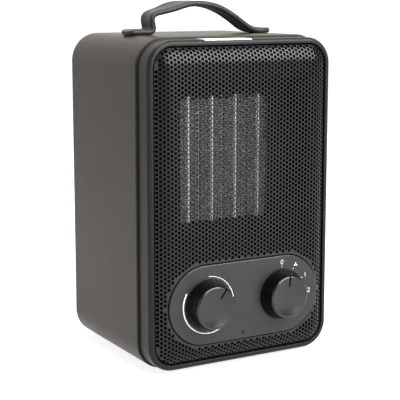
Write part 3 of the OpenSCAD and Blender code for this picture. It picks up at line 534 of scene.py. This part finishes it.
class FormedSheet:
    """The sheet's shape: a flat middle, a rounded border, then a skirt straight back.

    Points are given on the sheet as it is before forming, so that the holes keep their pitch along
    the rounded border.
    """

    def __init__(self):
        low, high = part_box("grille")
        self.front = low.y
        self.centre = (low + high) / 2
        self.flat_w = high.x - low.x - 2 * BORDER
        self.flat_h = high.z - low.z - 2 * BORDER
        self.flat_r = CORNER_R - BORDER
        self.bend_r = (BORDER**2 + BORDER_DROP**2) / (2 * BORDER_DROP)
        self.bend = math.asin(BORDER / self.bend_r)
        self.border = self.bend_r * self.bend

    def outline(self, beyond, steps=16):
        """Closed outline at a distance outside the flat middle."""
        grow = 2 * beyond
        return rounded_loop(self.flat_w + grow, self.flat_h + grow, self.flat_r + beyond, steps)

    def beyond(self, u, v):
        """Distance outside the flat middle, the nearest core point and the way out of it."""
        half_u, half_v = self.flat_w / 2 - self.flat_r, self.flat_h / 2 - self.flat_r
        core = Vector((max(-half_u, min(half_u, u)), max(-half_v, min(half_v, v))))
        out = Vector((u, v)) - core
        return out.length - self.flat_r, core, out.normalized() if out.length > 1e-9 else out

    def place(self, u, v):
        """Front and rear point of the formed sheet."""
        beyond, core, out = self.beyond(u, v)
        angle = max(0.0, min(beyond / self.bend_r, self.bend))
        if beyond <= 0:
            across = Vector((u, v))
        else:
            across = core + out * (self.flat_r + self.bend_r * math.sin(angle))
        drop = self.bend_r * (1 - math.cos(angle)) + max(0.0, beyond - self.border)
        lean = math.radians(90) if beyond > self.border + 0.1 * MM else angle
        front = Vector((self.centre.x + across.x, self.front + drop, self.centre.z + across.y))
        inward = Vector((-out.x * math.sin(lean), math.cos(lean), -out.y * math.sin(lean)))
        return front, front + SHEET * inward


def stadium(cu, cv, w, h, steps):
    """Closed stadium outline round (cu, cv)."""
    r, run = h / 2, w / 2 - h / 2
    loop = arc(cu + run, cv, r, -90, 90, steps) + arc(cu - run, cv, r, 90, 270, steps)
    return dense(loop, 2 * MM)


def hole_centres(sheet, keep_out):
    """Centres of the perforation: staggered columns, spaced to end right at the skirt.

    No hole touches the stadium that keep_out gives by its centre, half its run and its radius.
    """
    reach = sheet.border - HOLE_R - EDGE_WEB
    half_u, half_v = sheet.flat_w / 2 + reach, sheet.flat_h / 2 + reach
    columns = round(half_u / (HOLE_PITCH * math.sqrt(3) / 2))
    rows = round(half_v / HOLE_PITCH)
    column, row = half_u / columns, half_v / rows
    pu, pv, half_run, keep_r = keep_out
    centres = []
    for i in range(-columns, columns + 1):
        for j in range(-rows - 1, rows + 2):
            u = i * column
            v = (j + 0.5 * (i % 2)) * row
            clear = math.hypot(max(0.0, abs(u - pu) - half_run), v - pv) > keep_r
            if sheet.beyond(u, v)[0] < reach + 0.01 * MM and clear:
                centres.append((u, v))
    return centres


def perforated_grille():
    """Fine perforated sheet: drawn flat, cut into triangles there, then formed."""
    sheet = FormedSheet()
    panel_low, panel_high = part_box("control_panel")
    opening_w = panel_high.x - panel_low.x + PANEL_PLAY
    opening_h = panel_high.z - panel_low.z + PANEL_PLAY
    pv = (panel_low.z + panel_high.z) / 2 - sheet.centre.z
    keep_out = (0.0, pv, (opening_w - opening_h) / 2, opening_h / 2 + HOLE_R + PANEL_WEB)
    outlines = [sheet.outline(sheet.border + SKIRT), sheet.outline(sheet.border)]
    holes = [stadium(0.0, pv, opening_w, opening_h, 40)]
    half_side = 180 / HOLE_SIDES
    for u, v in hole_centres(sheet, keep_out):
        holes.append(arc(u, v, HOLE_R, half_side, 360 - half_side, HOLE_SIDES - 1))
    loops = outlines + holes
    flat, owner, edges = [], [], []
    for which, loop in enumerate(loops):
        start = len(flat)
        flat += [Vector(p) for p in loop]
        owner += [which] * len(loop)
        edges += [(start + k, start + (k + 1) % len(loop)) for k in range(len(loop))]
    # The 1 asks for the triangles inside the outermost loop only.
    corners, _, triangles, origins, _, _ = delaunay_2d_cdt(flat, edges, [], 1, 1e-9)
    source = [owner[o[0]] if o else 0 for o in origins]

    def is_hole(t):
        first = source[t[0]]
        return first >= len(outlines) and all(source[k] == first for k in t)

    web = [t for t in triangles if not is_hole(t)]
    split = panel_high.z + SPLIT_ABOVE_PANEL - sheet.centre.z
    placed = [sheet.place(c.x, c.y) for c in corners]
    for name, upper in (("grille_upper", True), ("grille_lower", False)):
        part = [t for t in web if (sum(corners[k].y for k in t) / 3 > split) == upper]
        solid_sheet(name, placed, part)


def solid_sheet(name, placed, triangles):
    """Closed sheet between front and rear points, with walls along every free edge."""
    used = sorted({k for t in triangles for k in t})
    new = {k: i for i, k in enumerate(used)}
    n = len(used)
    points = [placed[k][0] for k in used] + [placed[k][1] for k in used]
    faces, sides = [], []
    for t in triangles:
        a, b, c = (new[k] for k in t)
        faces += [(a, b, c), (n + c, n + b, n + a)]
        sides += [(a, b), (b, c), (c, a)]
    shared = set(sides)
    faces += [(q, p, n + p, n + q) for p, q in sides if (q, p) not in shared]
    stands_for = ("grille",) if name == "grille_upper" else ()
    return piece(name, points, faces, "mesh", stands_for=stands_for, sharp=40.0)


perforated_grille()

# ---------------------------------------------------------------- heating element fins

FIN_PITCH = 1.9 * MM
FIN_T = 0.14 * MM
FIN_FOLD = 0.35 * MM
FIN_GAP = 0.1 * MM  # between a pack and the tube or divider beside it
TUBES, TUBE_W = 4, 2.2 * MM
DIVIDER_W = 0.8 * MM


def fin_strip(x0, x1, low, high):
    """One corrugated strip: flat runs across, short folds along each side."""
    line = []
    z, side = low.z + FIN_FOLD, 0
    while z < high.z - FIN_PITCH:
        x = x0 if side == 0 else x1
        line += [(x, z), (x, z + FIN_FOLD)]
        z += FIN_PITCH / 2
        side = 1 - side
    half = FIN_T / 2
    return swept([
        [
            Vector((x - half, low.y, z - half)), Vector((x + half, low.y, z + half)),
            Vector((x + half, high.y, z + half)), Vector((x - half, high.y, z - half)),
        ]
        for x, z in line
    ])


def element_fins():
    """A strip on each side of each tube, from the tube to the divider halfway to the next."""
    low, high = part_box("element_fins")
    tubes_low, tubes_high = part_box("element_tubes")
    pitch = (tubes_high.x - tubes_low.x - TUBE_W) / (TUBES - 1)
    inner, outer = TUBE_W / 2 + FIN_GAP, pitch / 2 - DIVIDER_W / 2 - FIN_GAP
    points, faces = [], []
    for i in range(TUBES):
        x = tubes_low.x + TUBE_W / 2 + i * pitch
        for side in (-1, 1):
            p, f = fin_strip(x + side * inner, x + side * outer, low, high)
            start = len(points)
            points += p
            faces += [tuple(start + k for k in face) for face in f]
    made = piece("element_fin_packs", points, faces, "aluminium",
                 stands_for=("element_fins",), sharp=25.0)
    outward(made)


element_fins()

# ---------------------------------------------------------------- knobs


def soft_profile(corners, radius, steps=4):
    """Rounds each inner corner of a profile given as (radius, height) points."""
    line = [corners[0]]
    for before, corner, after in zip(corners, corners[1:], corners[2:]):
        b, c, a = Vector(before), Vector(corner), Vector(after)
        reach = min(radius, (b - c).length / 2.2, (a - c).length / 2.2)
        start, end = c + (b - c).normalized() * reach, c + (a - c).normalized() * reach
        for i in range(steps + 1):
            t = i / steps
            line.append(tuple((1 - t) ** 2 * start + 2 * t * (1 - t) * c + t**2 * end))
    return line + [corners[-1]]


KNOB_TAPER = 3.6 * MM  # how much smaller the face's radius is than the skirt's
KNOB_DISH = 1.9 * MM
KNOB_CREASE = 30.0  # degrees; steeper edges stay sharp
GROOVE_W, GROOVE_DEPTH = 1.4 * MM, 2.1 * MM
GROOVE_START, GROOVE_END = 7.2 * MM, 20 * MM  # from the axis; it runs out through the rim


def axis_of(node):
    """Where a knob's axis is, across and up."""
    low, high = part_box(node)
    return (low.x + high.x) / 2, (low.z + high.z) / 2


def knob(name, node, body, angle):
    """Tapered knob with a twice-chamfered rim, a dished face and a pointer groove.

    The angle is the groove's at rest, clockwise from the top.
    """
    low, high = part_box(node)
    x, z = axis_of(node)
    skirt, height = (high.x - low.x) / 2, high.y - low.y
    face = skirt - KNOB_TAPER
    rim = height - 0.1 * MM
    back = [(0, 0), (skirt - 0.4 * MM, 0), (skirt, 0.4 * MM)]
    chamfers = [
        (face + 0.9 * MM, height - 2.0 * MM), (face + 0.35 * MM, height - 0.75 * MM),
        (face - 0.5 * MM, height - 0.05 * MM), (face - 1.2 * MM, rim),
    ]
    dish = [(face * r, rim - KNOB_DISH * (0.85 - r * r)) for r in (0.8, 0.65, 0.5, 0.35, 0.2, 0.0)]
    points, faces = lathe(soft_profile(back + chamfers + dish, 0.35 * MM), 128)
    place = facing(x, high.y, z)
    made = piece(name, [place @ p for p in points], faces, "knob", body,
                 stands_for=(node,), sharp=KNOB_CREASE)
    outward(made)
    cut_away(made, *pointer_groove(place, height, angle), KNOB_CREASE)
    made.data.materials.append(KNOB_PAINTED_SHADE)
    # Painted shade: the darker copy of the plastic goes wherever the surface doesn't face the
    # front, on the sides and in the pointer groove.
    for polygon in made.data.polygons:
        polygon.material_index = int(polygon.normal.y > -0.5)


def pointer_groove(place, height, angle):
    """Round-ended bar that cuts the pointer groove."""
    r = GROOVE_W / 2
    outline = arc(0, GROOVE_START + r, r, 180, 360, 10) + arc(0, GROOVE_END, r, 0, 180, 10)
    turn = Matrix.Rotation(math.radians(-angle), 4, "Z")
    return swept([
        [place @ turn @ Vector((u, v, h)) for u, v in outline]
        for h in (height - GROOVE_DEPTH, height + GROOVE_DEPTH)
    ])


knob("thermostat_dial", "thermostat_knob", "thermostat", 32)
knob("selector_dial", "selector_knob", "selector", 0)

# ---------------------------------------------------------------- printed scale

INK_T = 0.05 * MM
SCALE_R = 20.8 * MM  # radius of the thermostat's arc and of the selector's dots
SIGN_R, SIGN_H = 24.2 * MM, 3.2 * MM
DOT_R = 0.35 * MM
STROKE = 0.32 * MM  # width of the signs' lines
THERMOSTAT_SWEEP = 300
SELECTOR_SIGNS = {0: "0", 30: "fan", 60: "1", 90: "2"}


def ink(name, outlines):
    """Printed shapes on the panel's face, each an outline of (x, z) points."""
    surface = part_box("control_panel")[0].y
    points, faces = [], []
    for outline in outlines:
        n, start = len(outline), len(points)
        points += [Vector((x, surface - INK_T, z)) for x, z in outline]
        points += [Vector((x, surface + INK_T, z)) for x, z in outline]
        front, rear = range(start, start + n), range(start + n, start + 2 * n)
        faces += [tuple(front), tuple(reversed(rear))]
        faces += [(front[k], rear[k], rear[(k + 1) % n], front[(k + 1) % n]) for k in range(n)]
    made = piece(name, points, faces, "label", material=PRINT_INK)
    outward(made)


def on_dial(centre, radius, clock):
    """Point at a radius and a clockwise angle from the top."""
    a = math.radians(clock)
    return centre[0] + radius * math.sin(a), centre[1] + radius * math.cos(a)


def tapering_arc():
    """The thermostat's scale: from the top clockwise to ten o'clock, growing wider."""
    centre, steps = axis_of("thermostat_knob"), 90
    outer, inner = [], []
    for i in range(steps + 1):
        half = (0.16 + 0.34 * i / steps) * MM
        outer.append(on_dial(centre, SCALE_R + half, THERMOSTAT_SWEEP * i / steps))
        inner.append(on_dial(centre, SCALE_R - half, THERMOSTAT_SWEEP * i / steps))
    return [[outer[i], outer[i + 1], inner[i + 1], inner[i]] for i in range(steps)]


def stroke(points):
    """A thin bar for each leg of a line."""
    half = STROKE / 2
    bars = []
    for (ax, az), (bx, bz) in zip(points, points[1:]):
        length = math.hypot(bx - ax, bz - az)
        nx, nz = -(bz - az) / length * half, (bx - ax) / length * half
        bars.append([
            (ax + nx, az + nz), (ax - nx, az - nz), (bx - nx, bz - nz), (bx + nx, bz + nz),
        ])
    return bars


def sign(kind, cx, cz):
    """Generic dial signs: 0, 1, 2 and a three-bladed fan, drawn in shares of their height."""
    def at(u, v):
        return cx + u * SIGN_H, cz + v * SIGN_H

    if kind == "0":
        ring = [TURN * k / 20 for k in range(21)]
        return stroke([at(0.32 * math.cos(a), 0.5 * math.sin(a)) for a in ring])
    if kind == "1":
        return stroke([at(-0.22, 0.28), at(0, 0.5), at(0, -0.5)])
    if kind == "2":
        bow = [at(u, v) for u, v in arc(0, 0.22, 0.28, 160, -30, 10)]
        return stroke(bow + [at(-0.3, -0.5), at(0.32, -0.5)])
    blades = []
    for k in range(3):
        a = math.radians(90 + 120 * k)
        blade = []
        for i in range(16):
            t = TURN * i / 16
            along, aside = 0.27 + 0.26 * math.cos(t), 0.15 * math.sin(t)
            blade.append(at(along * math.cos(a) - aside * math.sin(a),
                            along * math.sin(a) + aside * math.cos(a)))
        blades.append(blade)
    return blades


def selector_marks():
    """A dot and a sign at each of the selector's positions."""
    centre = axis_of("selector_knob")
    shapes = []
    for clock, kind in SELECTOR_SIGNS.items():
        shapes.append(arc(*on_dial(centre, SCALE_R, clock), DOT_R, 0, 345, 23))
        shapes += sign(kind, *on_dial(centre, SIGN_R, clock))
    return shapes


ink("thermostat_scale", tapering_arc())
ink("selector_scale", selector_marks())

# ---------------------------------------------------------------- strap handle


STRAP_T = 4.2 * MM  # over the beaded edges
STRAP_END_R = 4.5 * MM
STRAP_END_THIN = 0.62  # share of the thickness that is left at the very ends
CASING_CORNER_R = 21.2 * MM


def bezier(a, b, c, d, steps):
    """Points of a curve from a towards d, without d itself."""
    points = []
    for i in range(steps):
        t = i / steps
        w = ((1 - t) ** 3, 3 * t * (1 - t) ** 2, 3 * t * t * (1 - t), t**3)
        points.append(tuple(sum(k * p[axis] for k, p in zip(w, (a, b, c, d))) for axis in (0, 1)))
    return points


def strap_line():
    """Centre line in millimetres, across and up: tab, upright fold, crown, fall and tab."""
    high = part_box("casing")[1]
    top, corner_r, half_t = high.z / MM, CASING_CORNER_R / MM, STRAP_T / 2 / MM
    corner_x = high.x / MM - corner_r
    base, wrap_r = top + half_t, corner_r + half_t + 0.05
    # Ends and handles of each stretch, across and above the tabs, and the points it gets.
    stretches = [
        ((-42.9, 3.4), (-43.4, 7.5), (-46.6, 12.4), (-37.5, 14.3), 22),
        ((-37.5, 14.3), (-29, 16.2), (-21, 20.3), (-8, 20.5), 22),
        ((-8, 20.5), (9, 20.8), (19, 16.2), (34, 5.7), 26),
        ((34, 5.7), (39, 2.2), (43, 0), (50, 0), 14),
    ]
    line = arc(-corner_x, top - corner_r, wrap_r, 104.5, 90, 12)
    line += arc(-45.9, base + 3, 3, -90, 0, 12)
    for *handles, steps in stretches:
        line += bezier(*((x, base + rise) for x, rise in handles), steps)
    line += [(50, base)] + arc(corner_x, top - corner_r, wrap_r, 90, 84.5, 6)
    return line


def strap_roll(x):
    """Twist of the band about its own line: the front edge hangs low on the rising side."""
    most, where, spread = math.radians(9), -24 * MM, 9 * MM
    return -most * math.exp(-((x - where) / spread) ** 2)


def strap_section(half_w, half_t, steps=6):
    """Half-round edges, a bead inside each edge and a slightly hollow middle."""
    right = arc(half_w - half_t, 0, half_t, -80, 80, 2 * steps)
    bead, hollow = half_w - half_t - 1.0 * MM, half_t * 0.86
    crown = [(bead + 0.6 * MM, half_t), (bead, half_t * 0.95), (bead - 0.9 * MM, hollow)]
    upper = right + crown + [(0, hollow)] + [(-u, v) for u, v in reversed(crown)]
    left = [(-u, v) for u, v in reversed(right)]
    under = [(-u, -v) for u, v in crown] + [(0, -hollow)] + [(u, -v) for u, v in reversed(crown)]
    return upper + left + under


def handle_strap():
    """The band: one section swept along its line, narrower and thinner towards both ends."""
    low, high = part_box("handle_strap")
    half_w, middle = (high.y - low.y) / 2, (low.y + high.y) / 2
    line = [Vector((x * MM, z * MM)) for x, z in strap_line()]
    run = [0.0]
    for a, b in zip(line, line[1:]):
        run.append(run[-1] + (b - a).length)
    sections = []
    for i, p in enumerate(line):
        ahead = (line[min(i + 1, len(line) - 1)] - line[max(i - 1, 0)]).normalized()
        up = Vector((-ahead.y, ahead.x))
        roll = strap_roll(p.x)
        share = min(1.0, min(run[i], run[-1] - run[i]) / STRAP_END_R)
        swell = math.sqrt(1 - (1 - share) ** 2)
        width = half_w - STRAP_END_R * (1 - swell)
        thick = STRAP_T / 2 * (STRAP_END_THIN + (1 - STRAP_END_THIN) * swell)
        across = Vector((-up.x * math.sin(roll), math.cos(roll), -up.y * math.sin(roll)))
        above = Vector((up.x * math.cos(roll), math.sin(roll), up.y * math.cos(roll)))
        centre = Vector((p.x, middle, p.y))
        sections.append([centre + u * across + v * above for u, v in strap_section(width, thick)])
    points, faces = swept(sections)
    made = piece("strap_band", points, faces, "strap", stands_for=("handle_strap",), sharp=50.0)
    outward(made)


handle_strap()

# ---------------------------------------------------------------- rear screws


HEAD_R, HEAD_H = 2.9 * MM, 1.2 * MM
RECESS_HALF_W, RECESS_REACH, RECESS_DEPTH = 0.35 * MM, 1.7 * MM, 0.8 * MM


def cross_screw(name, x, z, rear, stands_for):
    """Domed head with a cross recess, seen from the rear."""
    profile = soft_profile([
        (0, 0), (HEAD_R, 0), (HEAD_R, 0.45 * HEAD_H), (0.55 * HEAD_R, HEAD_H), (0, HEAD_H),
    ], 0.5 * MM)
    points, faces = lathe(profile, 48)
    place = Matrix.Translation((x, rear - HEAD_H, z)) @ Matrix.Rotation(math.radians(-90), 4, "X")
    made = piece(name, [place @ p for p in points], faces, "zinc_steel",
                 stands_for=stands_for, sharp=40.0)
    outward(made)
    for w, h in ((RECESS_HALF_W, RECESS_REACH), (RECESS_REACH, RECESS_HALF_W)):
        bar = swept([
            [place @ Vector((sx * w, sy * h, s)) for sx, sy in ((-1, -1), (1, -1), (1, 1), (-1, 1))]
            for s in (HEAD_H - RECESS_DEPTH, HEAD_H + RECESS_DEPTH)
        ])
        cut_away(made, *bar, 40.0)


def rear_screws():
    """A screw in each corner of the rear cover; the first stands for the CAD node."""
    low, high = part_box("rear_cover_screws")
    across, up = (low.x + HEAD_R, high.x - HEAD_R), (low.z + HEAD_R, high.z - HEAD_R)
    for which, (x, z) in enumerate([(x, z) for x in across for z in up]):
        stands_for = ("rear_cover_screws",) if which == 0 else ()
        cross_screw(f"rear_screw_{which + 1}", x, z, high.y, stands_for)


rear_screws()
